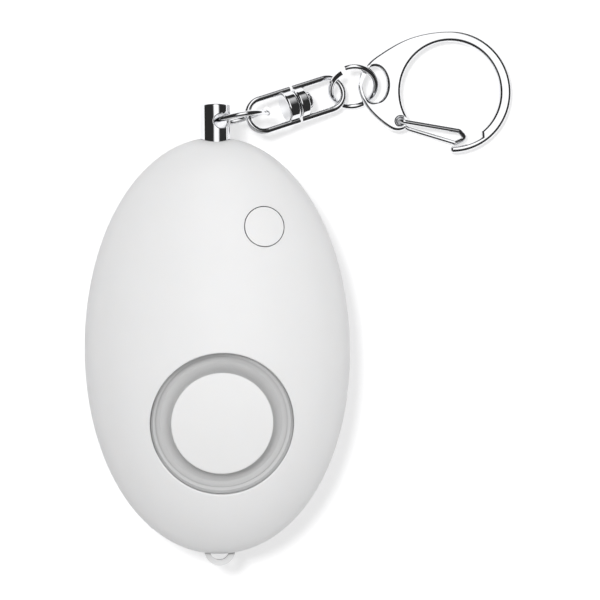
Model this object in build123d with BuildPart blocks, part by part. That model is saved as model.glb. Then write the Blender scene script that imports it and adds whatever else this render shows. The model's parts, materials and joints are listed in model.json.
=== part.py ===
from build123d import *
import os
from math import atan, cos, degrees, radians, sin, sqrt

# Personal safety alarm on its back: X across, Y along towards the pull pin, Z up from the flat back.

# Body
body_width = 41.5
upper_length = 33.25
lower_length = 31.8
front_height = 11.6
back_height = 12.0
seam_height = 10.4
wall = 1.6
floor_thickness = 2.0
upper_fullness_share = 0.562
lower_fullness_share = 0.5715
seam_groove_depth = 0.22
seam_groove_height = 0.24
tongue_height = 1.0
tongue_clearance = 0.08
rebate_relief = 0.3
overrun = 2.0
equator_y = (lower_length - upper_length) / 2
body_end_y = equator_y + upper_length
body_foot_y = equator_y - lower_length

# Siren opening and the pieces behind it, along an axis square to the front dome
siren_y = -12.1
chamber_radius = 11.0
chamber_clearance = 0.06
collar_wall = 1.3
collar_drop = 6.8
ledge_width = 0.75
ledge_drop = 4.25
throat_drop = 3.0
siren_wall_width = 0.77
siren_wall_drop = 2.4
siren_rim_edge = 0.2
sound_slit = 0.15
cover_wall = 1.5
cover_shoulder = 2.2
cover_face_drop = 1.45
cover_face_thickness = 1.15
cover_edge_fillet = 0.18
flange_thickness = 0.65
slot_count = 8
slot_width = 4.4
slot_height = 0.9
slot_overrun = 0.4
gasket_width = 1.6
gasket_thickness = 0.5
piezo_thickness = 0.25
ceramic_margin = 1.84
ceramic_thickness = 0.22
retainer_width = 1.5

# Push button and its switch
button_x = 6.9
button_y = 18.35
button_radius = 3.05
button_gap = 0.13
button_travel = 0.45
button_flange_radius = 3.9
button_flange_gap = 0.12
button_skirt_wall = 0.5
button_skirt_drop = 1.25
button_proud = 0.1
switch_side = 3.2
switch_height = 1.3
switch_gap = 0.65
plunger_radius = 0.7
plunger_clearance = 0.1
plunger_depth = 0.5

# Circuit board
board_thickness = 1.0
board_rise = 3.6
board_bottom = seam_height + board_rise
board_top = board_bottom + board_thickness
board_half_width = 11.2
board_start_y = 2.0
board_edge_gap = 0.6
board_boss_radius = 1.8
board_screw_radius = 0.7
board_screw_head_radius = 1.4
board_screw_head_height = 0.8
board_screw_length = 2.6
board_screw_places = [(-8.4, 16.5), (9.2, 6.4)]
chip_size = (5.0, 4.0, 1.5)
chip_place = (-3.2, 11.5)
transistor_size = (3.0, 2.6, 2.2)
transistor_place = (-8.6, 9.6)
inductor_radius = 3.2
inductor_core_radius = 1.4
inductor_flange = 0.6
inductor_height = 3.4
inductor_winding_gap = 0.1
inductor_place = (2.8, 6.4)
resistor_size = (2.0, 1.2, 0.6)
resistor_pitch = 2.1
resistor_count = 4
resistor_place = (-2.4, 16.5)

# Three button cells in a row along Y, with their contacts and door
cell_radius = 5.8
cell_height = 5.4
cell_cap_radius = 4.6
cell_cap_height = 0.5
cell_edge = 0.35
cell_count = 3
cell_gap = 0.05
cell_floor_gap = 0.2
cradle_gap = 0.25
cradle_wall = 1.0
cradle_height = 7.0
end_wall_half_width = 4.8
end_wall_height = 9.0
contact_thickness = 0.3
contact_width = 7.0
contact_bow = 0.35
strap_width = 2.0
strap_height = 10.6
tail_width = 1.5
door_width = 15.0
door_length = 24.0
door_corner = 2.0
door_thickness = 1.2
door_gap = 0.12
door_opening_width = 12.4
door_opening_length = 18.6
door_hook_width = 0.9
door_hook_reach = 1.3
door_hook_thickness = 0.7
door_hook_gap = 0.08
door_grip_count = 4
door_grip_pitch = 1.2
door_grip_depth = 0.3
door_grip_width = 7.0
door_grip_inset = 5.5
door_screw_radius = 0.7
door_screw_head_radius = 1.2
door_screw_head_height = 0.7
door_screw_length = 3.4
door_screw_boss_radius = 1.35

# Housing screws
housing_screw_x = 14.5
housing_screw_y = 6.0
housing_screw_foot_inset = 6.925
housing_screw_radius = 0.85
housing_screw_head_radius = 1.9
housing_screw_head_height = 1.3
housing_screw_seat = 5.8
housing_screw_length = 8.0
housing_pillar_radius = 2.6
screw_clearance = 0.2
screw_bite = 0.02
screw_tip_room = 0.6
cross_width = 0.45
cross_depth = 0.5
cross_reach_share = 0.6

# Lanyard loop
loop_radius = 2.4
loop_hole_radius = 1.5
loop_centre_inset = 0.5
loop_thickness = 1.5

# Pull pin and the contacts that it holds apart
cap_radius = 2.4
cap_length = 6.185
cap_seat_depth = 0.98
cap_seat_gap = 0.2
cap_edge = 0.35
cap_hole_inset = 2.73
cap_hole_radius = 1.12
cap_hole_tilt = 22.0
cap_hole_edge = 0.15
shank_radius = 1.3
shank_clearance = 0.08
shank_length = 13.345
shank_spigot_radius = 1.0
shank_spigot_length = 1.6
shank_edge = 0.4
block_half_width = 4.0
block_inset = 0.6
block_length = 8.2
block_drop = 3.0
leaf_thickness = 0.3
leaf_length = 6.4
leaf_half_height = 1.5
leaf_gap = 0.12
leaf_tail = 1.6
leaf_slot_clearance = 0.02

# Leads of the siren
lead_radius = 0.35
lead_bend = 1.2
lead_level = 12.4
lead_end_y = 4.6
red_lead_outset = 0.8
black_lead_inset = 1.6
lead_up = 3.0

# Link ring through the pin cap
link_radius = 4.55
link_wire_radius = 0.42
link_azimuth = 12.0
link_lean = 6.0
link_drop = 22.0
link_slack = 0.3
split_offset = 0.8
split_angle = 5.0

# Swivel
swivel_length = 16.55
swivel_azimuth = 17.7
swivel_drop = 14.0
swivel_tip_reach = 1.55
swivel_tip_side = 0.53
swivel_tip_depth = 2.8
eye_radius = 2.58
eye_wire_radius = 0.52
eye_leg_end = 0.2
barrel_radius = 2.42
front_barrel_length = 1.9
rear_barrel_length = 1.7
barrel_gap = 0.12
barrel_edge = 0.35
rivet_radius = 0.8
rivet_clearance = 0.06
rivet_depth = 1.4
rivet_head_radius = 1.45
rivet_head_height = 0.85
rivet_head_gap = 0.06

# Jump ring
jump_radius = 3.65
jump_wire_radius = 0.47
jump_azimuth = 6.0
jump_tilt = 36.5
jump_split_at = 112.0
jump_reach = 1.64
jump_side = 0.28
jump_lift = 0.7

# Snap hook, drawn about the centre of its round part
hook_radius = 9.72
hook_hole_radius = 8.01
hook_hole_shift = 0.2
hook_thickness = 1.75
hook_tilt = 4.0
hook_edge = 0.35
hook_eye_edge = 0.15
hook_eye_half_width = 1.97
hook_eye_half_height = 2.82
hook_eye_x = -12.36
hook_eye_y = 1.17
hook_eye_reach = 3.45
hook_eye_side = 0.35
hook_eye_drop = 0.17
hook_back_shares = [(-0.4, 0.965), (-0.704, 0.884), (-0.95, 0.772), (-1.2, 0.62), (-1.394, 0.46),
                    (-1.49, 0.27)]
hook_heel_shares = [(-1.55, 0.1), (-1.535, 0.0), (-1.452, -0.202), (-1.307, -0.386), (-1.102, -0.56)]
hook_tail_shares = [(-0.897, -0.642), (-0.79, -0.615), (-0.75, -0.52)]
hook_top_heading = (-1, 0)
hook_tail_heading = (0.2, 1)
hook_opening_start = 209.0
hook_opening_middle = 78.0
nose_start_angle = -52.0
nose_end_angle = -89.0
nose_inner_radius = 8.66
nose_step_angle = 4.0
nose_round_angle = 3.0
gate_pivot_x = -8.35
gate_pivot_y = -4.65
gate_pivot_hole_radius = 0.5
gate_wire_radius = 0.4
gate_side_gap = 0.12
gate_front_end = (1.18, -6.24)
gate_back_start = (-6.8, -5.75)
gate_back_end = (0.66, -8.1)
gate_tip = (2.3, -7.35)
gate_front_rise = 0.55
gate_back_rise = -0.5
gate_bend = 0.55


# Shapes that several pieces share
def egg_half_face(half_width, upper, lower):
    """Right half of the flat egg, its long axis on Y and its widest line on X."""
    with BuildSketch(Plane.XY) as half:
        with BuildLine():
            Bezier((0, upper), (upper_fullness_share * half_width, upper),
                   (half_width, upper_fullness_share * upper), (half_width, 0))
            Bezier((half_width, 0), (half_width, -lower_fullness_share * lower),
                   (lower_fullness_share * half_width, -lower), (0, -lower))
            Line((0, -lower), (0, upper))
        make_face()
    return half.sketch


def egg_face(inset, level):
    """Whole egg outline at a level, drawn in by an inset."""
    half = egg_half_face(body_width / 2 - inset, upper_length - inset, lower_length - inset)
    with BuildSketch(Plane.XY) as whole:
        add(half)
        mirror(about=Plane.YZ)
    return Pos(0, equator_y, level) * whole.sketch


def dome(inset, height, down=False):
    """Half egg that stands on the seam plane, or hangs from it."""
    half_width = body_width / 2 - inset
    with BuildPart() as half_egg:
        add(egg_half_face(half_width, upper_length - inset, lower_length - inset))
        revolve(axis=Axis.Y, revolution_arc=180 if down else -180)
        scale(by=(1, 1, height / half_width))
    return Pos(0, equator_y, seam_height) * half_egg.part


def dome_height(x, y, inset, height, length):
    """Height of a dome over a point, taking its sections as ellipses."""
    across = x / (body_width / 2 - inset)
    along = (y - equator_y) / (length - inset)
    return seam_height + height * sqrt(1 - across ** 2 - along ** 2)


def save(node, label):
    """Name a finished piece and write its file."""
    node.part.label = label
    export_step(node.part, f"parts/{label}.step")


os.makedirs("parts", exist_ok=True)

front_outside = dome(0, front_height)
front_inside = dome(wall, front_height - wall)
back_outside = dome(0, back_height, down=True)
back_inside = dome(wall, back_height - wall, down=True)

# Axis of the siren: square to the dome at the middle of the opening
siren_z = dome_height(0, siren_y, 0, front_height, lower_length)
siren_run = equator_y - siren_y
siren_slope = (front_height / lower_length) ** 2 * siren_run / (siren_z - seam_height)
siren_angle = atan(siren_slope)
siren_plane = Plane(origin=(0, siren_y, siren_z), x_dir=(1, 0, 0),
                    z_dir=(0, -sin(siren_angle), cos(siren_angle)))
siren_section = Plane(origin=siren_plane.origin, x_dir=(1, 0, 0), z_dir=-siren_plane.y_dir)
siren_axis = Axis(siren_plane.origin, siren_plane.z_dir)
collar_radius = chamber_radius + collar_wall
throat_radius = chamber_radius - ledge_width
siren_rim_radius = throat_radius + siren_wall_width
cover_radius = throat_radius - sound_slit
cover_cavity_radius = cover_radius - cover_wall
cover_face_radius = cover_radius - cover_shoulder
cover_flange_radius = chamber_radius - chamber_clearance
ceramic_radius = cover_flange_radius - retainer_width - ceramic_margin
flange_bottom_drop = ledge_drop + flange_thickness
piezo_drop = flange_bottom_drop + gasket_thickness
piezo_bottom_drop = piezo_drop + piezo_thickness
ceramic_bottom_drop = piezo_bottom_drop + ceramic_thickness

# Pull pin: its axis lies in the seam plane
pin_bore_radius = shank_radius + shank_clearance
cap_bottom_y = body_end_y - cap_seat_depth
cap_seat_y = cap_bottom_y - cap_seat_gap
cap_top_y = cap_bottom_y + cap_length
cap_hole_y = cap_top_y - cap_hole_inset
shank_end_y = cap_bottom_y - shank_length
block_start_y = shank_end_y + block_inset

housing_screw_places = [
    (-housing_screw_x, housing_screw_y),
    (housing_screw_x, housing_screw_y),
    (0, body_foot_y + housing_screw_foot_inset),
]
pilot_radius = housing_screw_radius + screw_bite
pilot_top = housing_screw_seat + housing_screw_length + screw_tip_room


# Front shell: dome with the siren collar, screw bosses, button hole and pin bore
with BuildPart() as front_fittings:
    with BuildSketch(siren_plane.offset(-collar_drop)):
        Circle(collar_radius)
    extrude(amount=collar_drop)
    with BuildSketch(Plane.XY.offset(seam_height)):
        with Locations(*housing_screw_places):
            Circle(housing_pillar_radius)
    extrude(amount=front_height)
    with BuildSketch(Plane.XY.offset(board_top)):
        with Locations(*board_screw_places):
            Circle(board_boss_radius)
    extrude(amount=front_height)
    add(front_outside, mode=Mode.INTERSECT)

with BuildPart() as front_shell:
    add(front_outside)
    add(front_inside, mode=Mode.SUBTRACT)
    add(front_fittings.part)
    # rebate that takes the tongue of the back shell
    with BuildSketch(Plane.XY.offset(seam_height)):
        add(egg_face(wall / 2, 0))
        add(egg_face(wall + rebate_relief, 0), mode=Mode.SUBTRACT)
    extrude(amount=tongue_height + tongue_clearance, mode=Mode.SUBTRACT)
    # siren opening: a straight rim, a sloped wall, a throat and the chamber behind
    with BuildSketch(siren_section):
        with BuildLine():
            Polyline((0, overrun), (siren_rim_radius, overrun), (siren_rim_radius, -siren_wall_drop),
                     (throat_radius, -throat_drop), (throat_radius, -ledge_drop),
                     (chamber_radius, -ledge_drop), (chamber_radius, -collar_drop - overrun),
                     (0, -collar_drop - overrun), (0, overrun))
        make_face()
    revolve(axis=siren_axis, mode=Mode.SUBTRACT)
    siren_rim = front_shell.edges(Select.LAST).filter_by(GeomType.BSPLINE).sort_by(siren_axis)[-1]
    fillet(siren_rim, radius=siren_rim_edge)
    with BuildSketch(Plane.XY.offset(board_top)):
        with Locations((button_x, button_y)):
            Circle(button_radius + button_gap)
    extrude(amount=front_height, mode=Mode.SUBTRACT)
    with BuildSketch(Plane.XY.offset(seam_height)):
        with Locations(*housing_screw_places):
            Circle(pilot_radius)
    extrude(amount=pilot_top - seam_height, mode=Mode.SUBTRACT)
    with BuildSketch(Plane.XY.offset(board_top)):
        with Locations(*board_screw_places):
            Circle(board_screw_radius + screw_bite)
    extrude(amount=board_screw_length - board_thickness + screw_tip_room / 2, mode=Mode.SUBTRACT)
    with BuildSketch(Plane(origin=(0, shank_end_y, seam_height), x_dir=(1, 0, 0), z_dir=(0, 1, 0))):
        Circle(pin_bore_radius)
    extrude(amount=body_end_y - shank_end_y, mode=Mode.SUBTRACT)
    with BuildSketch(Plane(origin=(0, cap_seat_y, seam_height), x_dir=(1, 0, 0), z_dir=(0, 1, 0))):
        Circle(cap_radius + cap_seat_gap)
    extrude(amount=cap_seat_depth + overrun, mode=Mode.SUBTRACT)
    # half of the fine groove along the seam
    with BuildSketch(Plane.XY.offset(seam_height)):
        add(egg_face(-overrun, 0))
        add(egg_face(seam_groove_depth, 0), mode=Mode.SUBTRACT)
    extrude(amount=seam_groove_height / 2, mode=Mode.SUBTRACT)
save(front_shell, "front_shell")


# Back shell: truncated dome with tongue, screw pillars, cell cradle, door frame and lanyard loop
row_half = (cell_count * cell_height + (cell_count - 1) * cell_gap) / 2
contact_room = contact_thickness + contact_bow
end_wall_y = row_half + contact_room
cell_axis_z = floor_thickness + cell_floor_gap + cell_radius
loop_centre_y = body_foot_y + loop_centre_inset
door_screw_y = equator_y + (door_opening_length + door_length) / 4

with BuildPart() as back_fittings:
    with BuildSketch(Plane.XY):
        with Locations(*housing_screw_places):
            Circle(housing_pillar_radius)
    extrude(amount=seam_height)
    with BuildSketch(Plane.XY):
        with Locations((0, door_screw_y)):
            Circle(door_screw_boss_radius)
    extrude(amount=door_thickness + door_screw_length)
    with BuildSketch(Plane.XY):
        with Locations((0, equator_y)):
            for side in (-1, 1):
                with Locations((side * (cell_radius + cradle_gap + cradle_wall / 2), 0)):
                    Rectangle(cradle_wall, 2 * row_half)
    extrude(amount=floor_thickness + cradle_height)
    with BuildSketch(Plane.XY):
        with Locations((0, equator_y)):
            for side in (-1, 1):
                with Locations((0, side * (end_wall_y + cradle_wall / 2))):
                    Rectangle(2 * end_wall_half_width, cradle_wall)
    extrude(amount=floor_thickness + end_wall_height)
    add(back_outside, mode=Mode.INTERSECT)

with BuildPart() as back_hollow:
    add(back_inside)
    split(bisect_by=Plane.XY.offset(floor_thickness), keep=Keep.TOP)

with BuildPart() as back_shell:
    add(back_outside)
    split(bisect_by=Plane.XY, keep=Keep.TOP)
    add(back_hollow.part, mode=Mode.SUBTRACT)
    add(back_fittings.part)
    with BuildSketch(Plane.XY.offset(seam_height - floor_thickness)):
        add(egg_face(wall / 2 + tongue_clearance, 0))
        add(egg_face(wall, 0), mode=Mode.SUBTRACT)
    extrude(amount=floor_thickness + tongue_height)
    with BuildSketch(Plane.XY.offset(seam_height - seam_groove_height - loop_thickness)):
        with Locations((0, loop_centre_y)):
            Circle(loop_radius)
            Circle(loop_hole_radius, mode=Mode.SUBTRACT)
        add(egg_face(wall / 2, 0), mode=Mode.SUBTRACT)
    extrude(amount=loop_thickness)
    with BuildSketch(Plane.XY):
        with Locations((0, equator_y)):
            RectangleRounded(door_width + 2 * door_gap, door_length + 2 * door_gap, door_corner + door_gap)
    extrude(amount=door_thickness, mode=Mode.SUBTRACT)
    with BuildSketch(Plane.XY):
        with Locations((0, equator_y)):
            Rectangle(door_opening_width, door_opening_length)
    extrude(amount=floor_thickness, mode=Mode.SUBTRACT)
    with BuildSketch(Plane.XY):
        with Locations((0, door_screw_y)):
            Circle(door_screw_radius + screw_bite)
    extrude(amount=door_thickness + door_screw_length, mode=Mode.SUBTRACT)
    with BuildSketch(Plane.XY):
        with Locations(*housing_screw_places):
            Circle(housing_screw_radius + screw_clearance)
    extrude(amount=seam_height, mode=Mode.SUBTRACT)
    with BuildSketch(Plane.XY):
        with Locations(*housing_screw_places):
            Circle(housing_screw_head_radius + screw_clearance)
    extrude(amount=housing_screw_seat, mode=Mode.SUBTRACT)
    with BuildSketch(Plane(origin=(0, shank_end_y, seam_height), x_dir=(1, 0, 0), z_dir=(0, 1, 0))):
        Circle(pin_bore_radius)
    extrude(amount=body_end_y - shank_end_y, mode=Mode.SUBTRACT)
    with BuildSketch(Plane(origin=(0, cap_seat_y, seam_height), x_dir=(1, 0, 0), z_dir=(0, 1, 0))):
        Circle(cap_radius + cap_seat_gap)
    extrude(amount=cap_seat_depth + overrun, mode=Mode.SUBTRACT)
    with BuildSketch(Plane.XY.offset(seam_height - seam_groove_height / 2)):
        add(egg_face(-overrun, 0))
        add(egg_face(seam_groove_depth, 0), mode=Mode.SUBTRACT)
    extrude(amount=seam_groove_height / 2, mode=Mode.SUBTRACT)
save(back_shell, "back_shell")


# Battery door: plate flush with the flat back, two hooks at one end and a screw at the other
door_hook_x = (door_opening_width - door_hook_width) / 2 - door_gap
door_foot_y = equator_y - door_opening_length / 2 + door_hook_gap
with BuildPart() as battery_door:
    with BuildSketch(Plane.XY):
        with Locations((0, equator_y)):
            RectangleRounded(door_width, door_length, door_corner)
    extrude(amount=door_thickness)
    with BuildSketch(Plane.XY.offset(door_thickness)):
        for side in (-1, 1):
            with Locations((side * door_hook_x, door_foot_y)):
                Rectangle(door_hook_width, door_hook_thickness, align=(Align.CENTER, Align.MIN))
    extrude(amount=floor_thickness - door_thickness + door_hook_gap + door_hook_thickness)
    with BuildSketch(Plane.XY.offset(floor_thickness + door_hook_gap)):
        for side in (-1, 1):
            with Locations((side * door_hook_x, door_foot_y - door_hook_reach)):
                Rectangle(door_hook_width, door_hook_reach, align=(Align.CENTER, Align.MIN))
    extrude(amount=door_hook_thickness)
    with BuildSketch(Plane.XY):
        with Locations((0, door_screw_y)):
            Circle(door_screw_radius + screw_clearance)
    extrude(amount=door_thickness, mode=Mode.SUBTRACT)
    with BuildSketch(Plane.XY):
        with Locations((0, door_screw_y)):
            Circle(door_screw_head_radius + screw_clearance / 2)
    extrude(amount=door_screw_head_height, mode=Mode.SUBTRACT)
    with BuildSketch(Plane.XY):
        with Locations((0, equator_y - door_length / 2 + door_grip_inset)):
            with GridLocations(0, door_grip_pitch, 1, door_grip_count):
                SlotOverall(door_grip_width, door_grip_pitch / 2)
    extrude(amount=door_grip_depth, mode=Mode.SUBTRACT)
save(battery_door, "battery_door")


def cross_cut(radius):
    """Cross for a screwdriver, to be cut into a screw head of this radius."""
    Rectangle(2 * cross_reach_share * radius, cross_width)
    Rectangle(cross_width, 2 * cross_reach_share * radius)


with BuildPart() as battery_door_screw:
    with BuildSketch(Plane.XY):
        with Locations((0, door_screw_y)):
            Circle(door_screw_head_radius)
    extrude(amount=door_screw_head_height)
    with BuildSketch(Plane.XY):
        with Locations((0, door_screw_y)):
            Circle(door_screw_radius)
    extrude(amount=door_screw_head_height + door_screw_length)
    with BuildSketch(Plane.XY):
        with Locations((0, door_screw_y)):
            cross_cut(door_screw_head_radius)
    extrude(amount=cross_depth, mode=Mode.SUBTRACT)
save(battery_door_screw, "battery_door_screw")

with BuildPart() as housing_screws:
    with BuildSketch(Plane.XY.offset(housing_screw_seat - housing_screw_head_height)):
        with Locations(*housing_screw_places):
            Circle(housing_screw_head_radius)
    extrude(amount=housing_screw_head_height)
    with BuildSketch(Plane.XY.offset(housing_screw_seat)):
        with Locations(*housing_screw_places):
            Circle(housing_screw_radius)
    extrude(amount=housing_screw_length)
    with BuildSketch(Plane.XY.offset(housing_screw_seat - housing_screw_head_height)):
        with Locations(*housing_screw_places):
            cross_cut(housing_screw_head_radius)
    extrude(amount=cross_depth, mode=Mode.SUBTRACT)
save(housing_screws, "housing_screws")


# Siren: cover, gasket, brass plate with its ceramic disc, and the ring that holds them
with BuildPart() as speaker_cover:
    with BuildSketch(siren_section):
        with BuildLine():
            Line((0, -cover_face_drop), (cover_face_radius, -cover_face_drop))
            Bezier((cover_face_radius, -cover_face_drop),
                   ((cover_face_radius + cover_cavity_radius) / 2, -throat_drop),
                   (cover_cavity_radius, -throat_drop), (cover_radius, -throat_drop))
            Polyline((cover_radius, -throat_drop), (cover_radius, -ledge_drop),
                     (cover_flange_radius, -ledge_drop), (cover_flange_radius, -flange_bottom_drop),
                     (cover_cavity_radius, -flange_bottom_drop), (cover_cavity_radius, -ledge_drop),
                     (cover_face_radius - cover_face_thickness, -cover_face_drop - cover_face_thickness),
                     (0, -cover_face_drop - cover_face_thickness), (0, -cover_face_drop))
        make_face()
    revolve(axis=siren_axis)
    fillet(speaker_cover.faces().sort_by(siren_axis)[-1].edges(), radius=cover_edge_fillet)
    with BuildSketch(siren_plane.offset(-flange_bottom_drop)):
        with PolarLocations(cover_radius - cover_wall / 2, slot_count):
            Rectangle(cover_wall + 2 * slot_overrun, slot_width)
    extrude(amount=slot_height, mode=Mode.SUBTRACT)
save(speaker_cover, "speaker_cover")

with BuildPart() as sounder_gasket:
    with BuildSketch(siren_plane.offset(-piezo_drop)):
        Circle(cover_flange_radius)
        Circle(cover_flange_radius - gasket_width, mode=Mode.SUBTRACT)
    extrude(amount=gasket_thickness)
save(sounder_gasket, "sounder_gasket")

with BuildPart() as piezo_plate:
    with BuildSketch(siren_plane.offset(-piezo_bottom_drop)):
        Circle(cover_flange_radius)
    extrude(amount=piezo_thickness)
save(piezo_plate, "piezo_plate")

with BuildPart() as piezo_ceramic:
    with BuildSketch(siren_plane.offset(-ceramic_bottom_drop)):
        Circle(ceramic_radius)
    extrude(amount=ceramic_thickness)
save(piezo_ceramic, "piezo_ceramic")

with BuildPart() as sounder_retainer:
    with BuildSketch(siren_plane.offset(-collar_drop)):
        Circle(cover_flange_radius)
        Circle(cover_flange_radius - retainer_width, mode=Mode.SUBTRACT)
    extrude(amount=collar_drop - piezo_bottom_drop)
save(sounder_retainer, "sounder_retainer")


# Push button: flush with the dome, with a flange under the shell and a skirt round the switch
button_bottom = board_top + switch_height + switch_gap
flange_room = dome(wall + button_flange_gap, front_height - wall - button_flange_gap)
button_crown = dome(-button_proud, front_height + button_proud)
with BuildPart() as button_flange:
    with BuildSketch(Plane.XY.offset(button_bottom)):
        with Locations((button_x, button_y)):
            Circle(button_flange_radius)
    extrude(amount=front_height)
    add(flange_room, mode=Mode.INTERSECT)

with BuildPart() as push_button:
    with BuildSketch(Plane.XY.offset(button_bottom)):
        with Locations((button_x, button_y)):
            Circle(button_radius)
    extrude(amount=front_height)
    add(button_crown, mode=Mode.INTERSECT)
    add(button_flange.part)
    with BuildSketch(Plane.XY.offset(button_bottom - button_skirt_drop)):
        with Locations((button_x, button_y)):
            Circle(button_radius)
            Circle(button_radius - button_skirt_wall, mode=Mode.SUBTRACT)
    extrude(amount=button_skirt_drop)
save(push_button, "push_button")

plunger_hole_radius = plunger_radius + plunger_clearance
with BuildPart() as tact_switch:
    with BuildSketch(Plane.XY.offset(board_top)):
        with Locations((button_x, button_y)):
            Rectangle(switch_side, switch_side)
    extrude(amount=switch_height)
    with BuildSketch(Plane.XY.offset(board_top + (switch_height - plunger_depth) / 2 - plunger_clearance)):
        with Locations((button_x, button_y)):
            Circle(plunger_hole_radius)
    extrude(amount=switch_height, mode=Mode.SUBTRACT)
save(tact_switch, "tact_switch")

with BuildPart() as switch_plunger:
    with BuildSketch(Plane.XY.offset(board_top + switch_height - plunger_depth)):
        with Locations((button_x, button_y)):
            Circle(plunger_radius)
    extrude(amount=plunger_depth + switch_gap)
save(switch_plunger, "switch_plunger")


# Circuit board and what it carries
with BuildPart() as circuit_board:
    board_inset = wall + board_edge_gap
    level_share = (board_top - seam_height) / (front_height - wall)
    shrink = sqrt(1 - level_share ** 2)
    with BuildSketch(Plane.XY.offset(board_bottom)):
        with Locations((0, equator_y)):
            Ellipse((body_width / 2 - board_inset) * shrink, (upper_length - board_inset) * shrink)
        with Locations((0, board_start_y)):
            Rectangle(2 * board_half_width, upper_length, align=(Align.CENTER, Align.MIN), mode=Mode.INTERSECT)
    extrude(amount=board_thickness)
    with BuildSketch(Plane.XY.offset(board_bottom)):
        with Locations(*board_screw_places):
            Circle(board_screw_radius + screw_clearance / 2)
    extrude(amount=board_thickness, mode=Mode.SUBTRACT)
save(circuit_board, "circuit_board")

with BuildPart() as board_screws:
    with BuildSketch(Plane.XY.offset(board_bottom - board_screw_head_height)):
        with Locations(*board_screw_places):
            Circle(board_screw_head_radius)
    extrude(amount=board_screw_head_height)
    with BuildSketch(Plane.XY.offset(board_bottom)):
        with Locations(*board_screw_places):
            Circle(board_screw_radius)
    extrude(amount=board_screw_length)
    with BuildSketch(Plane.XY.offset(board_bottom - board_screw_head_height)):
        with Locations(*board_screw_places):
            cross_cut(board_screw_head_radius)
    extrude(amount=cross_depth, mode=Mode.SUBTRACT)
save(board_screws, "board_screws")

with BuildPart() as driver_chip:
    with Locations((chip_place[0], chip_place[1], board_top)):
        Box(*chip_size, align=(Align.CENTER, Align.CENTER, Align.MIN))
save(driver_chip, "driver_chip")

with BuildPart() as transistor:
    with Locations((transistor_place[0], transistor_place[1], board_top)):
        Box(*transistor_size, align=(Align.CENTER, Align.CENTER, Align.MIN))
save(transistor, "transistor")

with BuildPart() as inductor_core:
    with BuildSketch(Plane.XY.offset(board_top)):
        with Locations(inductor_place):
            Circle(inductor_radius)
    extrude(amount=inductor_flange)
    with BuildSketch(Plane.XY.offset(board_top)):
        with Locations(inductor_place):
            Circle(inductor_core_radius)
    extrude(amount=inductor_height)
    with BuildSketch(Plane.XY.offset(board_top + inductor_height - inductor_flange)):
        with Locations(inductor_place):
            Circle(inductor_radius)
    extrude(amount=inductor_flange)
save(inductor_core, "inductor_core")

with BuildPart() as inductor_winding:
    with BuildSketch(Plane.XY.offset(board_top + inductor_flange)):
        with Locations(inductor_place):
            Circle(inductor_radius - 2 * inductor_winding_gap)
            Circle(inductor_core_radius, mode=Mode.SUBTRACT)
    extrude(amount=inductor_height - 2 * inductor_flange)
save(inductor_winding, "inductor_winding")

with BuildPart() as chip_resistors:
    with BuildSketch(Plane.XY.offset(board_top)):
        with Locations(resistor_place):
            with GridLocations(resistor_pitch, 0, resistor_count, 1):
                Rectangle(resistor_size[1], resistor_size[0])
    extrude(amount=resistor_size[2])
save(chip_resistors, "chip_resistors")


# Button cells and their contacts
row_start_y = equator_y - row_half
cell_places = [row_start_y + n * (cell_height + cell_gap) for n in range(cell_count)]
with BuildPart() as button_cells:
    for place in cell_places:
        cell_plane = Plane(origin=(0, place, cell_axis_z), x_dir=(1, 0, 0), z_dir=(0, 1, 0))
        with BuildSketch(cell_plane):
            Circle(cell_cap_radius)
        extrude(amount=cell_height)
        with BuildSketch(cell_plane.offset(cell_cap_height)):
            Circle(cell_radius)
        extrude(amount=cell_height - cell_cap_height)
    fillet(button_cells.edges().filter_by(GeomType.CIRCLE).group_by(SortBy.RADIUS)[-1], radius=cell_edge)
save(button_cells, "button_cells")

positive_y = equator_y + row_half + contact_bow
with BuildPart() as battery_contact_positive:
    with Locations((0, positive_y, floor_thickness + contact_bow)):
        Box(contact_width, contact_thickness, board_bottom - floor_thickness - contact_bow,
            align=(Align.CENTER, Align.MIN, Align.MIN))
    with Locations((0, positive_y, cell_axis_z)):
        Box(tail_width, contact_bow, tail_width, align=(Align.CENTER, Align.MAX, Align.CENTER))
save(battery_contact_positive, "battery_contact_positive")

strap_x = cell_radius + cradle_gap + cradle_wall + contact_bow
negative_y = row_start_y - contact_bow
with BuildPart() as battery_contact_negative:
    with Locations((0, negative_y, floor_thickness + contact_bow)):
        Box(contact_width, contact_thickness, strap_height - floor_thickness - contact_bow,
            align=(Align.CENTER, Align.MAX, Align.MIN))
    with Locations((0, negative_y, cell_axis_z)):
        Box(tail_width, contact_bow, tail_width, align=(Align.CENTER, Align.MIN, Align.CENTER))
    with Locations((0, negative_y, strap_height - strap_width)):
        Box(strap_x, contact_thickness, strap_width, align=(Align.MIN, Align.MAX, Align.MIN))
    with Locations((strap_x, negative_y - contact_thickness, strap_height - strap_width)):
        Box(contact_thickness, lead_end_y - negative_y, strap_width, align=(Align.MIN, Align.MIN, Align.MIN))
    with Locations((strap_x, lead_end_y - contact_thickness, strap_height - strap_width)):
        Box(contact_thickness, tail_width, board_bottom - strap_height + strap_width,
            align=(Align.MIN, Align.MAX, Align.MIN))
save(battery_contact_negative, "battery_contact_negative")


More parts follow.
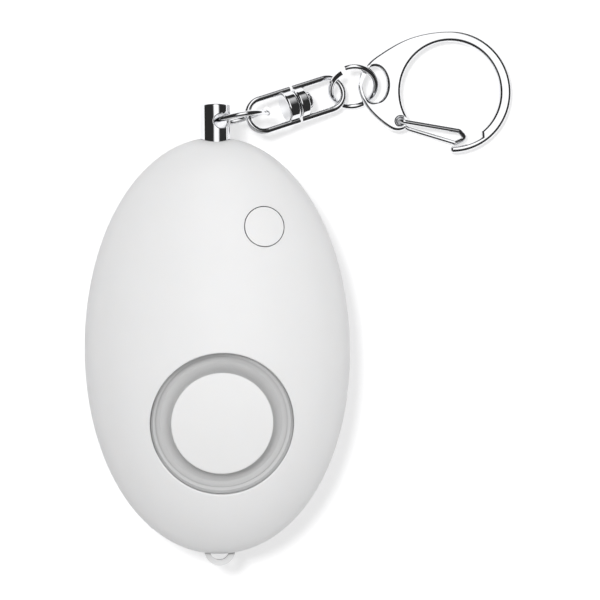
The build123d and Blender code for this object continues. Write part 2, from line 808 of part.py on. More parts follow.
# Siren leads: from the brass plate and the ceramic disc, under the board and up to it
def lead(x, drop):
    """Lead that leaves a disc square to it and ends under the board."""
    start = siren_plane.from_local_coords((x, lead_up, -drop))
    turn = siren_plane.from_local_coords((x, lead_up, -drop - (start.Z - lead_level) / cos(siren_angle)))
    plane = Plane(origin=(x, 0, 0), x_dir=(0, 1, 0), z_dir=(1, 0, 0))
    with BuildPart() as wire:
        with BuildLine(plane) as route:
            FilletPolyline((start.Y, start.Z), (turn.Y, turn.Z), (lead_end_y, lead_level),
                           (lead_end_y, board_bottom), radius=lead_bend)
        with BuildSketch(Plane(origin=route.line @ 0, z_dir=route.line % 0)):
            Circle(lead_radius)
        sweep(path=route.line)
    return wire


piezo_lead_red = lead(-ceramic_radius - red_lead_outset, piezo_bottom_drop)
save(piezo_lead_red, "piezo_lead_red")
piezo_lead_black = lead(black_lead_inset - ceramic_radius, ceramic_bottom_drop)
save(piezo_lead_black, "piezo_lead_black")


# Contact block under the board, with two leaves that the pin holds apart
block_plane = Plane(origin=(0, block_start_y, seam_height), x_dir=(1, 0, 0), z_dir=(0, 1, 0))
leaf_inner_x = shank_radius + leaf_gap
leaf_y = block_start_y + block_length / 2
with BuildPart() as contact_block:
    with Locations((0, block_start_y, board_bottom)):
        Box(2 * block_half_width, block_length, board_bottom - seam_height + block_drop,
            align=(Align.CENTER, Align.MIN, Align.MAX))
    with BuildSketch(block_plane):
        Circle(pin_bore_radius)
    extrude(amount=block_length, mode=Mode.SUBTRACT)
    with Locations((0, leaf_y, seam_height)):
        Box(2 * (leaf_inner_x + leaf_thickness + leaf_slot_clearance), leaf_length + 2 * leaf_slot_clearance,
            2 * (leaf_half_height + leaf_slot_clearance), mode=Mode.SUBTRACT)
    with Locations((0, leaf_y, seam_height)):
        Box(2 * (leaf_inner_x + leaf_thickness + leaf_slot_clearance), leaf_tail + 2 * leaf_slot_clearance,
            board_bottom - seam_height, align=(Align.CENTER, Align.CENTER, Align.MIN), mode=Mode.SUBTRACT)
save(contact_block, "contact_block")


def contact_leaf(side):
    """Upright leaf beside the pin, with a tail up to the board."""
    middle_x = side * (leaf_inner_x + leaf_thickness / 2)
    with BuildPart() as leaf:
        with Locations((middle_x, leaf_y, seam_height)):
            Box(leaf_thickness, leaf_length, 2 * leaf_half_height)
            Box(leaf_thickness, leaf_tail, board_bottom - seam_height,
                align=(Align.CENTER, Align.CENTER, Align.MIN))
    return leaf


contact_leaf_left = contact_leaf(-1)
save(contact_leaf_left, "contact_leaf_left")
contact_leaf_right = contact_leaf(1)
save(contact_leaf_right, "contact_leaf_right")


# Pull pin: chrome cap with a slanting cross hole, on a plastic shank
hole_direction = Vector(sin(radians(cap_hole_tilt)), 0, cos(radians(cap_hole_tilt)))
hole_centre = Vector(0, cap_hole_y, seam_height)
with BuildPart() as pull_pin_cap:
    with BuildSketch(Plane(origin=(0, cap_bottom_y, seam_height), x_dir=(1, 0, 0), z_dir=(0, 1, 0))):
        Circle(cap_radius)
    extrude(amount=cap_top_y - cap_bottom_y)
    fillet(pull_pin_cap.edges().group_by(Axis.Y)[-1], radius=cap_edge)
    with BuildSketch(Plane(origin=hole_centre, z_dir=hole_direction)):
        Circle(cap_hole_radius)
    extrude(amount=cap_radius + overrun, both=True, mode=Mode.SUBTRACT)
    fillet(pull_pin_cap.edges().filter_by(GeomType.BSPLINE), radius=cap_hole_edge)
    with BuildSketch(Plane(origin=(0, cap_bottom_y, seam_height), x_dir=(1, 0, 0), z_dir=(0, 1, 0))):
        Circle(shank_spigot_radius + screw_bite)
    extrude(amount=shank_spigot_length, mode=Mode.SUBTRACT)
save(pull_pin_cap, "pull_pin_cap")

with BuildPart() as pull_pin_shank:
    with BuildSketch(Plane(origin=(0, shank_end_y, seam_height), x_dir=(1, 0, 0), z_dir=(0, 1, 0))):
        Circle(shank_radius)
    extrude(amount=cap_bottom_y - shank_end_y)
    fillet(pull_pin_shank.edges().group_by(Axis.Y)[0], radius=shank_edge)
    with BuildSketch(Plane(origin=(0, cap_bottom_y, seam_height), x_dir=(1, 0, 0), z_dir=(0, 1, 0))):
        Circle(shank_spigot_radius)
    extrude(amount=shank_spigot_length)
save(pull_pin_shank, "pull_pin_shank")


# Rings of bent wire: two half turns that part sideways at the split
def split_ring(plane, radius, wire_radius):
    """Open ring in a plane, split on the side that the plane's X axis points to."""
    part_angle = split_offset / (4 * radius)

    def place(angle, side):
        reach = radius + radius * cos(radians(angle))
        return (reach * cos(part_angle) - radius, side * radius * sin(radians(angle)), side * reach * sin(part_angle))

    with BuildPart() as ring:
        with BuildLine(plane) as wire:
            ThreePointArc(place(split_angle, 1), place(90, 1), place(180, 1))
            ThreePointArc(place(180, 1), place(90, -1), place(split_angle, -1))
        with BuildSketch(Plane(origin=wire.line @ 0, z_dir=wire.line % 0)):
            Circle(wire_radius)
        sweep(path=wire.line)
    return ring


# Link ring: it stands on edge, hangs in the cap's cross hole and passes through the swivel's front eye
link_way = Vector(cos(radians(link_azimuth)), sin(radians(link_azimuth)), 0)
link_side = Vector(-sin(radians(link_azimuth)), cos(radians(link_azimuth)), 0)
link_up = link_side * sin(radians(link_lean)) + Vector(0, 0, cos(radians(link_lean)))
link_centre = hole_centre + (link_way * cos(radians(link_drop)) - link_up * sin(radians(link_drop))) * (
    link_radius - link_slack)
link_plane = Plane(origin=link_centre, x_dir=link_way, z_dir=link_way.cross(link_up))
link_ring = split_ring(link_plane, link_radius, link_wire_radius)
save(link_ring, "link_ring")


# Swivel: two wire eyes on barrels that turn on a rivet
swivel_way = Vector(cos(radians(swivel_azimuth)) * cos(radians(swivel_drop)),
                    sin(radians(swivel_azimuth)) * cos(radians(swivel_drop)), -sin(radians(swivel_drop)))
swivel_across = Vector(-sin(radians(swivel_azimuth)), cos(radians(swivel_azimuth)), 0)
swivel_front_tip = link_centre + link_way * swivel_tip_reach - link_side * swivel_tip_side - Vector(
    0, 0, swivel_tip_depth)
swivel_rear_tip = swivel_front_tip + swivel_way * swivel_length
swivel_middle = (swivel_front_tip + swivel_rear_tip) / 2
front_half = Plane(origin=swivel_middle, x_dir=-swivel_way, z_dir=-swivel_way.cross(swivel_across))
rear_half = Plane(origin=swivel_middle, x_dir=swivel_way, z_dir=swivel_way.cross(swivel_across))


def swivel_eye(half, barrel_length, bore_radius, bore_start, bore_length):
    """Eye of wire with its barrel; the half's X axis points from the barrel to the eye's tip."""
    bend_x = swivel_length / 2 - eye_radius
    barrel_plane = Plane(origin=half.origin, x_dir=half.y_dir, z_dir=half.x_dir)
    with BuildPart() as eye:
        with BuildSketch(barrel_plane.offset(barrel_gap / 2)):
            Circle(barrel_radius)
        extrude(amount=barrel_length)
        fillet(eye.edges().filter_by(GeomType.CIRCLE), radius=barrel_edge)
        with BuildLine(half) as wire:
            Line((eye_leg_end, eye_radius), (bend_x, eye_radius))
            ThreePointArc((bend_x, eye_radius), (bend_x + eye_radius, 0), (bend_x, -eye_radius))
            Line((bend_x, -eye_radius), (eye_leg_end, -eye_radius))
        with BuildSketch(Plane(origin=wire.line @ 0, z_dir=wire.line % 0)):
            Circle(eye_wire_radius)
        sweep(path=wire.line)
        with BuildSketch(barrel_plane.offset(bore_start)):
            Circle(bore_radius)
        extrude(amount=bore_length, mode=Mode.SUBTRACT)
    return eye


swivel_eye_front = swivel_eye(front_half, front_barrel_length, rivet_radius + screw_bite, 0, rivet_depth)
save(swivel_eye_front, "swivel_eye_front")
swivel_eye_rear = swivel_eye(rear_half, rear_barrel_length, rivet_radius + rivet_clearance, 0,
                             rear_barrel_length + overrun)
save(swivel_eye_rear, "swivel_eye_rear")

rivet_plane = Plane(origin=swivel_middle, x_dir=swivel_across, z_dir=swivel_way)
rivet_head_start = barrel_gap / 2 + rear_barrel_length + rivet_head_gap
with BuildPart() as swivel_rivet:
    with BuildSketch(rivet_plane.offset(-rivet_depth)):
        Circle(rivet_radius)
    extrude(amount=rivet_depth + rivet_head_start)
    with BuildSketch(rivet_plane.offset(rivet_head_start)):
        Circle(rivet_head_radius)
    extrude(amount=rivet_head_height)
    fillet(swivel_rivet.edges().filter_by(GeomType.CIRCLE).sort_by(Axis(swivel_middle, swivel_way))[-1],
           radius=rivet_head_height / 2)
save(swivel_rivet, "swivel_rivet")


# Jump ring between the swivel and the hook, lying with its far side up
jump_centre = swivel_rear_tip + Vector(jump_reach, jump_side, jump_lift)
jump_x = Vector(cos(radians(jump_azimuth)), sin(radians(jump_azimuth)), 0)
jump_y = Vector(-sin(radians(jump_azimuth)) * cos(radians(jump_tilt)),
                cos(radians(jump_azimuth)) * cos(radians(jump_tilt)), sin(radians(jump_tilt)))
jump_split_way = jump_x * cos(radians(jump_split_at)) + jump_y * sin(radians(jump_split_at))
jump_plane = Plane(origin=jump_centre, x_dir=jump_split_way, z_dir=jump_x.cross(jump_y))
jump_ring = split_ring(jump_plane, jump_radius, jump_wire_radius)
save(jump_ring, "jump_ring")


# Snap hook: a flat casting with an eye, a round opening and a nose that takes the gate
hook_x_way = Vector(cos(radians(hook_tilt)), 0, -sin(radians(hook_tilt)))
hook_z_way = Vector(sin(radians(hook_tilt)), 0, cos(radians(hook_tilt)))
eye_centre = jump_centre + Vector(hook_eye_reach, hook_eye_side, -hook_eye_drop)
hook_centre = eye_centre - hook_x_way * hook_eye_x - Vector(0, 1, 0) * hook_eye_y
hook_plane = Plane(origin=hook_centre, x_dir=hook_x_way, z_dir=hook_z_way)


def on_circle(radius, angle, shift=0):
    """Point on a circle round the hook's centre."""
    return (radius * cos(radians(angle)) - shift, radius * sin(radians(angle)))


def from_shares(shares):
    """Outline points from their shares of the hook's radius."""
    return [(x * hook_radius, y * hook_radius) for x, y in shares]


with BuildPart() as snap_hook:
    with BuildSketch(hook_plane.offset(-hook_thickness / 2)) as hook_outline:
        with BuildLine():
            tail = from_shares(hook_tail_shares)
            Spline(on_circle(hook_radius, 90), *from_shares(hook_back_shares + hook_heel_shares), *tail,
                   tangents=(hook_top_heading, hook_tail_heading))
            Line(tail[-1], on_circle(hook_hole_radius, hook_opening_start, hook_hole_shift))
            ThreePointArc(on_circle(hook_hole_radius, hook_opening_start, hook_hole_shift),
                          on_circle(hook_hole_radius, hook_opening_middle, hook_hole_shift),
                          on_circle(hook_hole_radius, nose_start_angle, hook_hole_shift))
            Line(on_circle(hook_hole_radius, nose_start_angle, hook_hole_shift),
                 on_circle(nose_inner_radius, nose_start_angle - nose_step_angle))
            ThreePointArc(on_circle(nose_inner_radius, nose_start_angle - nose_step_angle),
                          on_circle(nose_inner_radius, (nose_start_angle + nose_end_angle) / 2),
                          on_circle(nose_inner_radius, nose_end_angle))
            ThreePointArc(on_circle(nose_inner_radius, nose_end_angle),
                          on_circle((nose_inner_radius + hook_radius) / 2, nose_end_angle - nose_round_angle),
                          on_circle(hook_radius, nose_end_angle))
            ThreePointArc(on_circle(hook_radius, nose_end_angle), on_circle(hook_radius, 0),
                          on_circle(hook_radius, 90))
        make_face()
        with Locations((hook_eye_x, hook_eye_y)):
            Ellipse(hook_eye_half_width, hook_eye_half_height, mode=Mode.SUBTRACT)
    extrude(amount=hook_thickness)
    flat_sides = snap_hook.faces().filter_by(hook_plane)
    fillet([edge for side in flat_sides for edge in side.outer_wire().edges()], radius=hook_edge)
    fillet(snap_hook.edges().filter_by(GeomType.ELLIPSE), radius=hook_eye_edge)
    with BuildSketch(hook_plane.offset(-hook_thickness / 2)):
        with Locations((gate_pivot_x, gate_pivot_y)):
            Circle(gate_pivot_hole_radius)
    extrude(amount=hook_thickness, mode=Mode.SUBTRACT)
save(snap_hook, "snap_hook")


# Gate: a wire hairpin whose ends turn into the pivot hole from both sides
leg_level = hook_thickness / 2 + gate_side_gap + gate_wire_radius
stub_level = gate_wire_radius / 2
with BuildPart() as snap_gate:
    with BuildLine(hook_plane) as hairpin:
        FilletPolyline(
            (gate_pivot_x, gate_pivot_y, stub_level),
            (gate_pivot_x, gate_pivot_y, leg_level),
            (*gate_front_end, gate_front_rise),
            (*gate_tip, 0),
            (*gate_back_end, gate_back_rise),
            (*gate_back_start, -leg_level),
            (gate_pivot_x, gate_pivot_y, -leg_level),
            (gate_pivot_x, gate_pivot_y, -stub_level),
            radius=gate_bend,
        )
    with BuildSketch(Plane(origin=hairpin.line @ 0, z_dir=hairpin.line % 0)):
        Circle(gate_wire_radius)
    sweep(path=hairpin.line)
save(snap_gate, "snap_gate")


def show(name, vector):
    """Print a place or direction for the joints."""
    print(f"{name}: {vector.X:.4f} {vector.Y:.4f} {vector.Z:.4f}")


show("cap hole centre", hole_centre)
show("cap hole direction", hole_direction)
show("link ring centre", link_centre)
show("swivel front tip", swivel_front_tip)
show("swivel rear tip", swivel_rear_tip)
show("swivel middle", swivel_middle)
show("swivel direction", swivel_way)
show("swivel across", swivel_across)
show("jump ring centre", jump_centre)
show("hook eye centre", eye_centre)
show("hook centre", hook_centre)
show("gate pivot", hook_plane.from_local_coords(Vector(gate_pivot_x, gate_pivot_y, 0)))
show("gate axis", hook_z_way)
show("siren origin", siren_plane.origin)
show("siren axis", siren_plane.z_dir)
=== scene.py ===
import json
import math

import bmesh
import bpy
from mathutils import Matrix, Vector
from mathutils.geometry import interpolate_bezier


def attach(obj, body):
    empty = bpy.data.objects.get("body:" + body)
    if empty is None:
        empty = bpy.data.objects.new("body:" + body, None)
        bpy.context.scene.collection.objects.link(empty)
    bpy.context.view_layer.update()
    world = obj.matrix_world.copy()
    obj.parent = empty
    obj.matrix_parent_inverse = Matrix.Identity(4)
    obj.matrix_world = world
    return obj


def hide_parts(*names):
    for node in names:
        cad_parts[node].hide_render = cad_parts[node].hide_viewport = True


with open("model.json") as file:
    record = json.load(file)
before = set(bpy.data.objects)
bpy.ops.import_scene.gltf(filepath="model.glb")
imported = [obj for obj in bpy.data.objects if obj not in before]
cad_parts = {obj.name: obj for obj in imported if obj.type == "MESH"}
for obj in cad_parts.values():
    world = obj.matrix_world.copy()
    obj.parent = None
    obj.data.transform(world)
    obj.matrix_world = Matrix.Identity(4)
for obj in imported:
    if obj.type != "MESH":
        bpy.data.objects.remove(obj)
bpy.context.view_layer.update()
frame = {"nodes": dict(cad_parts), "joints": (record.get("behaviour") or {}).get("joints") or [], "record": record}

# Every length below is in metres; sizes that are easier to read in millimetres are written times MM
MM = 0.001

# Camera: almost straight above, a little to the left, as in the photograph.
# The photograph's scale and the body's middle were measured at the height of the seam.
PIXELS = 600
PIXELS_PER_METRE = 6390.0
BODY_PIXEL = (217.5, 345.4)
SEAM_HEIGHT = 10.4 * MM
CAMERA_DISTANCE = 0.6
CAMERA_LEAN = math.radians(4.75)
CAMERA_CLIP = (0.01, 20.0)
PICTURE_TURN = math.radians(0.66)
SENSOR = 36.0

# Settings that the finishes share
SPECULAR = 0.5
COAT_ROUGHNESS = 0.1
LEAST_ROUGHNESS = 0.02
SUBSURFACE_RADIUS = (1.0, 0.9, 0.8)
SUBSURFACE_SCALE = 0.8 * MM
NOISE_RANGE = (0.3, 0.7)        # where most of a noise's values lie
# Painted shade: an ambient occlusion node darkens the colour of the whites in hollows and closed-in places, in
# place of shade from the light
PAINTED_SHADE_REACH = 3.5 * MM         # how far round a point the painted shade looks for hollows
PAINTED_SHADE_RANGE = (0.5, 0.98)      # openness at which the painted shade is darkest, and at which it ends
PAINTED_HOLLOW_SHADE = 0.42             # how much darker the painted shade makes the darkest hollow

# Sockets of a Mix node that mixes colours
MIX_FACTOR, MIX_A, MIX_B, MIX_RESULT = 0, 6, 7, 2

# Finishes, one for each material slot of the record: the arguments of surface()
WHITE_GLOW = 0.15
FINISHES = {
    # The whites of shell and cover carry painted shade in their hollows
    "white_shell": dict(
        colour=(0.86, 0.86, 0.862), roughness=0.36, shade=0.012, rough_play=0.04,
        grain_size=0.25 * MM, grain_depth=0.0012 * MM, subsurface=WHITE_GLOW, painted_shade_strength=PAINTED_HOLLOW_SHADE),
    "white_cover": dict(
        colour=(0.865, 0.865, 0.865), roughness=0.38, shade=0.012, rough_play=0.04,
        grain_size=0.22 * MM, grain_depth=0.0012 * MM, subsurface=WHITE_GLOW, painted_shade_strength=PAINTED_HOLLOW_SHADE),
    "white_button": dict(
        colour=(0.87, 0.87, 0.87), roughness=0.33, shade=0.01, rough_play=0.04,
        grain_size=0.22 * MM, grain_depth=0.001 * MM, subsurface=WHITE_GLOW),
    "bright_chrome": dict(
        colour=(0.86, 0.865, 0.88), roughness=0.07, metallic=1.0, shade=0.05, shade_size=2.0 * MM,
        rough_play=0.03, rough_size=0.8 * MM, grain_size=0.3 * MM, grain_depth=0.0015 * MM),
    "screw_steel": dict(
        colour=(0.55, 0.55, 0.56), roughness=0.34, metallic=1.0, shade=0.12,
        rough_play=0.1, rough_size=0.4 * MM),
    "cell_steel": dict(
        colour=(0.74, 0.74, 0.73), roughness=0.24, metallic=1.0, shade=0.06,
        rough_play=0.08, rough_size=0.9 * MM),
    "contact_steel": dict(
        colour=(0.74, 0.69, 0.58), roughness=0.28, metallic=1.0, shade=0.1, stretch=(1, 1, 12)),
    "plate_brass": dict(
        colour=(0.8, 0.6, 0.28), roughness=0.26, metallic=1.0, shade=0.1, stretch=(1, 9, 1)),
    "disc_ceramic": dict(
        colour=(0.78, 0.76, 0.7), roughness=0.45, shade=0.08, grain_size=0.05 * MM),
    "core_ferrite": dict(
        colour=(0.07, 0.07, 0.072), roughness=0.62, shade=0.3,
        grain_size=0.08 * MM, grain_depth=0.006 * MM),
    "winding_copper": dict(
        colour=(0.72, 0.33, 0.16), roughness=0.3, metallic=1.0, shade=0.2,
        grain_size=0.3 * MM, grain_depth=0.03 * MM, stretch=(0.1, 0.1, 3)),
    "board_green": dict(
        colour=(0.03, 0.2, 0.08), roughness=0.38, shade=0.25, shade_size=1.5 * MM, coat=0.4),
    "dark_plastic": dict(
        colour=(0.03, 0.03, 0.032), roughness=0.48, shade=0.2, grain_depth=0.004 * MM),
    "resistor_body": dict(
        colour=(0.05, 0.05, 0.055), roughness=0.3, shade=0.3, coat=0.3),
    "foam_grey": dict(
        colour=(0.2, 0.2, 0.2), roughness=0.9, shade=0.3, shade_size=0.4 * MM,
        grain_size=0.15 * MM, grain_depth=0.03 * MM),
    "shank_white": dict(
        colour=(0.8, 0.79, 0.76), roughness=0.45, shade=0.03, subsurface=0.2),
    "lead_red": dict(
        colour=(0.55, 0.04, 0.03), roughness=0.4, shade=0.12),
    "lead_black": dict(
        colour=(0.025, 0.025, 0.025), roughness=0.4, shade=0.2),
    "plunger_black": dict(
        colour=(0.04, 0.04, 0.04), roughness=0.42, shade=0.2),
}

# Floor: pale, lifted to white where the camera, metal and glass see it
FLOOR_REACH = 3.0
FLOOR_COLOUR = (0.6, 0.6, 0.605)
FLOOR_LIFT = 0.54

# Light: even light that is stronger on the +X side, one lamp, and for gloss a dim sky with a bright
# patch overhead, which reaches across and along by angles in degrees from straight up
WHITE = (1.0, 1.0, 1.0)
EVEN_LIGHT = 0.38
EVEN_LEAN = 0.37
GLOSS_LOW = 0.03
GLOSS_HIGH = 1.3
GLOSS_ACROSS = (-12.0, 24.0)
GLOSS_ALONG = (-12.0, 60.0)
GLOSS_SOFT = 8.0
KEY_PLACE = (-0.3, 0.22, 1.12)
KEY_AIM = (0.01, 0.0, 0.0)
KEY_SIZE = 0.26
KEY_POWER = 9.2

# Hook: the CAD node's outline with edges rounded like wire
HOOK_THICKNESS = 1.75 * MM
HOOK_ROUND = 0.52 * MM
HOOK_ROUND_STEPS = 6
HOOK_WELD = 0.002 * MM

# Siren cover: the CAD cover's disc with a bowl round it, which hides the sound slit, as in the
# photograph. The profile is a radius and a drop below the dome, in millimetres; the band and the
# wall are the control points of curves.
COVER_PLACE = Vector((0, -12.1, 21.2325)) * MM
COVER_LEAN = math.radians(7.955)
COVER_DISC = [(0.0, 1.45), (7.66, 1.45), (7.79, 1.48), (7.87, 1.54)]
COVER_BAND = [(7.9, 1.64), (8.15, 2.9), (8.7, 3.55), (9.45, 3.7)]
COVER_WALL = [(9.45, 3.7), (10.2, 3.55), (10.75, 2.9), (10.96, 1.75)]
COVER_UNDER = [(10.96, 3.9), (8.2, 4.2), (0.0, 2.7)]
COVER_TURNS = 192
COVER_STEPS = 12
COVER_CREASE = math.radians(28)


def add_object(name, data):
    made = bpy.data.objects.new(name, data)
    bpy.context.scene.collection.objects.link(made)
    return made


def add_camera():
    """The camera looks at the point of the seam plane that lies at the picture's middle."""
    across = (PIXELS / 2 - BODY_PIXEL[0]) / PIXELS_PER_METRE
    along = (BODY_PIXEL[1] - PIXELS / 2) / PIXELS_PER_METRE
    up = Vector((math.sin(PICTURE_TURN), math.cos(PICTURE_TURN), 0))
    right = Vector((math.cos(PICTURE_TURN), -math.sin(PICTURE_TURN), 0))
    target = right * across + up * along + Vector((0, 0, SEAM_HEIGHT))
    overhead = Vector((0, 0, 1))
    back = (overhead * math.cos(CAMERA_LEAN) - right * math.sin(CAMERA_LEAN)).normalized()
    side = up.cross(back).normalized()
    turn = Matrix((side, up, back)).transposed().to_4x4()
    data = bpy.data.cameras.new("camera")
    data.sensor_width = SENSOR
    data.lens = SENSOR * CAMERA_DISTANCE * PIXELS_PER_METRE / PIXELS
    data.clip_start, data.clip_end = CAMERA_CLIP
    camera = add_object("camera", data)
    camera.matrix_world = Matrix.Translation(target + back * CAMERA_DISTANCE) @ turn
    bpy.context.scene.camera = camera


# Node helpers
def new_tree(owner):
    owner.use_nodes = True
    owner.node_tree.nodes.clear()
    return owner.node_tree


def node(tree, kind, **values):
    """New node; values are its attributes, or its inputs with _ for each space in the name."""
    made = tree.nodes.new(kind)
    for name, value in values.items():
        if hasattr(made, name):
            setattr(made, name, value)
        else:
            made.inputs[name.replace("_", " ")].default_value = value
    return made


def join(tree, a, output, b, entry):
    tree.links.new(a.outputs[output], b.inputs[entry])


def arithmetic(tree, operation, *sources):
    """Math node on outputs; each source is a node and the name or number of its output."""
    made = node(tree, "ShaderNodeMath", operation=operation)
    for entry, (source, output) in enumerate(sources):
        join(tree, source, output, made, entry)
    return made


def noise(tree, coords, size, detail=3.0, stretch=None):
    """Noise whose lumps are about this many metres across."""
    made = node(tree, "ShaderNodeTexNoise", Scale=1.0 / size, Detail=detail)
    if stretch:
        stretched = node(tree, "ShaderNodeMapping", Scale=stretch)
        join(tree, coords, "Object", stretched, "Vector")
        join(tree, stretched, "Vector", made, "Vector")
    else:
        join(tree, coords, "Object", made, "Vector")
    return made


def spread(tree, source, low, high):
    """The middle of a noise's range, mapped to run from low to high."""
    made = node(tree, "ShaderNodeMapRange", clamp=True, From_Min=NOISE_RANGE[0],
                From_Max=NOISE_RANGE[1], To_Min=low, To_Max=high)
    join(tree, source, "Fac", made, "Value")
    return made


def paint_hollow_shade(tree, colour, painted_shade_strength):
    """The colour of a Mix node with painted shade: darker where the surface is closed in."""
    hollow = node(tree, "ShaderNodeAmbientOcclusion", Distance=PAINTED_SHADE_REACH)
    level = node(tree, "ShaderNodeMapRange", clamp=True, From_Min=PAINTED_SHADE_RANGE[0],
                 From_Max=PAINTED_SHADE_RANGE[1], To_Min=1 - painted_shade_strength)
    join(tree, hollow, "AO", level, "Value")
    shaded_colour = node(tree, "ShaderNodeMix", data_type="RGBA", blend_type="MULTIPLY")
    shaded_colour.inputs[MIX_FACTOR].default_value = 1.0
    join(tree, colour, MIX_RESULT, shaded_colour, MIX_A)
    join(tree, level, "Result", shaded_colour, MIX_B)
    return shaded_colour


def surface(name, colour, roughness, metallic=0.0, shade=0.03, shade_size=6 * MM, rough_play=0.05,
            rough_size=1.5 * MM, grain_size=0.12 * MM, grain_depth=0.002 * MM, coat=0.0,
            stretch=None, subsurface=0.0, painted_shade_strength=0.0):
    """Procedural finish: broad shade, patchy roughness, a fine grain in the bump, painted shade in hollows."""
    material = bpy.data.materials.new(name)
    tree = new_tree(material)
    output = node(tree, "ShaderNodeOutputMaterial")
    shader = node(tree, "ShaderNodeBsdfPrincipled")
    join(tree, shader, "BSDF", output, "Surface")
    coords = node(tree, "ShaderNodeTexCoord")
    shader.inputs["Metallic"].default_value = metallic
    shader.inputs["Specular IOR Level"].default_value = SPECULAR
    shader.inputs["Coat Weight"].default_value = coat
    shader.inputs["Coat Roughness"].default_value = COAT_ROUGHNESS
    if subsurface:
        shader.inputs["Subsurface Weight"].default_value = subsurface
        shader.inputs["Subsurface Radius"].default_value = SUBSURFACE_RADIUS
        shader.inputs["Subsurface Scale"].default_value = SUBSURFACE_SCALE

    broad = noise(tree, coords, shade_size, stretch=stretch)
    mix = node(tree, "ShaderNodeMix", data_type="RGBA")
    mix.inputs[MIX_A].default_value = (*(part * (1 - shade) for part in colour), 1)
    mix.inputs[MIX_B].default_value = (*colour, 1)
    join(tree, spread(tree, broad, 0.0, 1.0), "Result", mix, MIX_FACTOR)
    # Painted shade: the colour is darkened where the surface is closed in
    if painted_shade_strength:
        mix = paint_hollow_shade(tree, mix, painted_shade_strength)
    join(tree, mix, MIX_RESULT, shader, "Base Color")

    patches = noise(tree, coords, rough_size, detail=4.0, stretch=stretch)
    least = max(LEAST_ROUGHNESS, roughness - rough_play)
    join(tree, spread(tree, patches, least, roughness + rough_play), "Result", shader, "Roughness")

    grain = noise(tree, coords, grain_size, detail=2.0, stretch=stretch)
    bump = node(tree, "ShaderNodeBump", Strength=1.0, Distance=grain_depth)
    join(tree, grain, "Fac", bump, "Height")
    join(tree, bump, "Normal", shader, "Normal")
    return material


def dress_nodes(finishes):
    """Each CAD node takes the finish of its material slot."""
    slots = {entry["node"]: entry["material_slot"] for entry in frame["record"]["subparts"]}
    for name, shown in frame["nodes"].items():
        for place in shown.material_slots:
            place.link = "OBJECT"
            place.material = finishes[slots[name]]


def add_floor():
    """Plain floor: the lift is added where it is seen directly or in metal and glass."""
    mesh = bpy.data.meshes.new("floor")
    corners = [(x * FLOOR_REACH, y * FLOOR_REACH, 0) for x, y in ((-1, -1), (1, -1), (1, 1), (-1, 1))]
    mesh.from_pydata(corners, [], [(0, 1, 2, 3)])
    floor = add_object("floor", mesh)
    material = bpy.data.materials.new("floor")
    tree = new_tree(material)
    output = node(tree, "ShaderNodeOutputMaterial")
    diffuse = node(tree, "ShaderNodeBsdfDiffuse", Color=(*FLOOR_COLOUR, 1))
    glow = node(tree, "ShaderNodeEmission", Color=(*WHITE, 1))
    path = node(tree, "ShaderNodeLightPath")
    mirrored = arithmetic(tree, "MAXIMUM", (path, "Is Glossy Ray"), (path, "Is Transmission Ray"))
    seen = arithmetic(tree, "MAXIMUM", (path, "Is Camera Ray"), (mirrored, 0))
    lift = arithmetic(tree, "MULTIPLY", (seen, 0))
    lift.inputs[1].default_value = FLOOR_LIFT
    join(tree, lift, 0, glow, "Strength")
    both = node(tree, "ShaderNodeAddShader")
    join(tree, diffuse, "BSDF", both, 0)
    join(tree, glow, "Emission", both, 1)
    join(tree, both, "Shader", output, "Surface")
    mesh.materials.append(material)


def slope_band(tree, parts, axis, low, high):
    """1 where the sky's direction leans along an axis by low to high degrees from straight up."""
    slope = arithmetic(tree, "DIVIDE", (parts, axis), (parts, "Z"))
    edges = []
    for angle in (low, high):
        edge = node(tree, "ShaderNodeMapRange", interpolation_type="SMOOTHSTEP",
                    From_Min=math.tan(math.radians(angle - GLOSS_SOFT)),
                    From_Max=math.tan(math.radians(angle + GLOSS_SOFT)))
        join(tree, slope, 0, edge, "Value")
        edges.append((edge, "Result"))
    return arithmetic(tree, "SUBTRACT", *edges)


def add_world():
    """Plain white for the camera, even light for matt surfaces, and a bright patch for gloss."""
    world = bpy.data.worlds.new("world")
    bpy.context.scene.world = world
    tree = new_tree(world)
    output = node(tree, "ShaderNodeOutputWorld")
    path = node(tree, "ShaderNodeLightPath")
    even = node(tree, "ShaderNodeBackground", Color=(*WHITE, 1))
    seen = node(tree, "ShaderNodeBackground", Color=(*WHITE, 1), Strength=1.0)
    gloss = node(tree, "ShaderNodeBackground", Color=(*WHITE, 1))
    coords = node(tree, "ShaderNodeTexCoord")
    parts = node(tree, "ShaderNodeSeparateXYZ")
    join(tree, coords, "Generated", parts, "Vector")

    lean = arithmetic(tree, "MULTIPLY_ADD", (parts, "X"))
    lean.inputs[1].default_value = EVEN_LEAN
    lean.inputs[2].default_value = EVEN_LIGHT
    join(tree, lean, 0, even, "Strength")

    across = slope_band(tree, parts, "X", *GLOSS_ACROSS)
    along = slope_band(tree, parts, "Y", *GLOSS_ALONG)
    inside = arithmetic(tree, "MULTIPLY", (across, 0), (along, 0))
    level = node(tree, "ShaderNodeMapRange", To_Min=GLOSS_LOW, To_Max=GLOSS_HIGH)
    join(tree, inside, 0, level, "Value")
    join(tree, level, "Result", gloss, "Strength")

    unseen = node(tree, "ShaderNodeMixShader")
    join(tree, path, "Is Glossy Ray", unseen, 0)
    join(tree, even, "Background", unseen, 1)
    join(tree, gloss, "Background", unseen, 2)
    sky = node(tree, "ShaderNodeMixShader")
    join(tree, path, "Is Camera Ray", sky, 0)
    join(tree, unseen, "Shader", sky, 1)
    join(tree, seen, "Background", sky, 2)
    join(tree, sky, "Shader", output, "Surface")


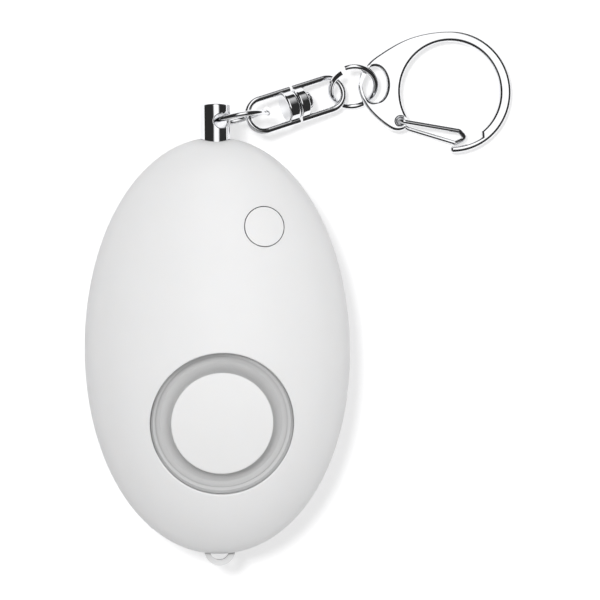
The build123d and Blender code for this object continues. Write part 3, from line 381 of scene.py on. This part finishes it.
def add_key():
    """The one lamp, which isn't seen itself, also not in the chrome."""
    data = bpy.data.lights.new("key", "AREA")
    data.shape = "DISK"
    data.size = KEY_SIZE
    data.energy = KEY_POWER
    lamp = add_object("key", data)
    lamp.location = KEY_PLACE
    lamp.rotation_mode = "QUATERNION"
    lamp.rotation_quaternion = (Vector(KEY_AIM) - Vector(KEY_PLACE)).to_track_quat("-Z", "Y")
    lamp.visible_camera = False
    lamp.visible_glossy = False


def hook_plane():
    """Middle plane of the hook, which is the plane of its gate's swing: origin and three axes."""
    swing = next(joint for joint in frame["joints"] if joint["name"] == "gate_open")
    up = Vector(swing["axis"]).normalized()
    along = Vector((0, 1, 0))
    return Vector(swing["pos_m"]), along.cross(up), along, up


def cut_outlines(shown, origin, across, along, up):
    """Closed outlines in which a plane cuts a node, as points in that plane."""
    cut = bmesh.new()
    cut.from_mesh(shown.data)
    bmesh.ops.remove_doubles(cut, verts=cut.verts, dist=HOOK_WELD)
    bmesh.ops.bisect_plane(cut, geom=cut.verts[:] + cut.edges[:] + cut.faces[:], plane_co=origin,
                           plane_no=up, clear_inner=True, clear_outer=True)
    outlines = []
    left = set(cut.verts)
    while left:
        here = min(left, key=lambda vert: tuple(vert.co))
        outline = []
        while here is not None:
            left.discard(here)
            outline.append(((here.co - origin).dot(across), (here.co - origin).dot(along)))
            near = [edge.other_vert(here) for edge in here.link_edges]
            here = next((vert for vert in near if vert in left), None)
        outlines.append(outline)
    cut.free()
    return outlines


def add_hook():
    """Filled outline with rounded edges, in place of the CAD hook."""
    origin, across, along, up = hook_plane()
    shape = bpy.data.curves.new("hook_body", "CURVE")
    shape.dimensions = "2D"
    shape.fill_mode = "BOTH"
    for outline in cut_outlines(frame["nodes"]["snap_hook"], origin, across, along, up):
        spline = shape.splines.new("POLY")
        spline.points.add(len(outline) - 1)
        for point, (x, y) in zip(spline.points, outline):
            point.co = (x, y, 0, 1)
        spline.use_cyclic_u = True
    shape.bevel_depth = HOOK_ROUND
    shape.bevel_resolution = HOOK_ROUND_STEPS
    shape.offset = -HOOK_ROUND
    shape.extrude = HOOK_THICKNESS / 2 - HOOK_ROUND
    drawn = add_object("hook_outline", shape)
    bpy.context.view_layer.update()
    graph = bpy.context.evaluated_depsgraph_get()
    mesh = bpy.data.meshes.new_from_object(drawn.evaluated_get(graph))
    bpy.data.objects.remove(drawn)
    turn = Matrix((across, along, up)).transposed().to_4x4()
    mesh.transform(Matrix.Translation(origin) @ turn)
    mesh.shade_smooth()
    return add_object("hook_body", mesh)


def curve_points(corners):
    points = interpolate_bezier(*[Vector((x, y, 0)) for x, y in corners], COVER_STEPS)
    return [(point.x, point.y) for point in points]


def add_cover():
    """The cover's profile, turned round the siren's axis."""
    profile = (COVER_DISC + curve_points(COVER_BAND) + curve_points(COVER_WALL)[1:] + COVER_UNDER)
    place = Matrix.Translation(COVER_PLACE) @ Matrix.Rotation(COVER_LEAN, 4, "X")
    turned = bmesh.new()
    rings = []
    for radius, drop in profile:
        spots = COVER_TURNS if radius else 1
        ring = []
        for spot in range(spots):
            angle = math.tau * spot / spots
            point = Vector((radius * math.cos(angle), radius * math.sin(angle), -drop)) * MM
            ring.append(turned.verts.new(place @ point))
        rings.append(ring)
    for inner, outer in zip(rings, rings[1:]):
        for spot in range(COVER_TURNS):
            following = spot + 1
            corners = [inner[spot % len(inner)], outer[spot % len(outer)],
                       outer[following % len(outer)], inner[following % len(inner)]]
            # The two corners at the axis are one point there
            turned.faces.new(list(dict.fromkeys(corners)))
    bmesh.ops.recalc_face_normals(turned, faces=turned.faces)
    mesh = bpy.data.meshes.new("siren_cover")
    turned.to_mesh(mesh)
    turned.free()
    mesh.shade_smooth()
    mesh.set_sharp_from_angle(angle=COVER_CREASE)
    return add_object("siren_cover", mesh)


add_camera()
finishes = {name: surface(name, **look) for name, look in FINISHES.items()}
dress_nodes(finishes)

hook_body = add_hook()
hook_body.data.materials.append(finishes["bright_chrome"])
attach(hook_body, "hook")
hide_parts("snap_hook")

siren_cover = add_cover()
siren_cover.data.materials.append(finishes["white_cover"])
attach(siren_cover, "housing")
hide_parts("speaker_cover")

add_floor()
add_world()
add_key()

bpy.context.scene.view_settings.view_transform = "Standard"
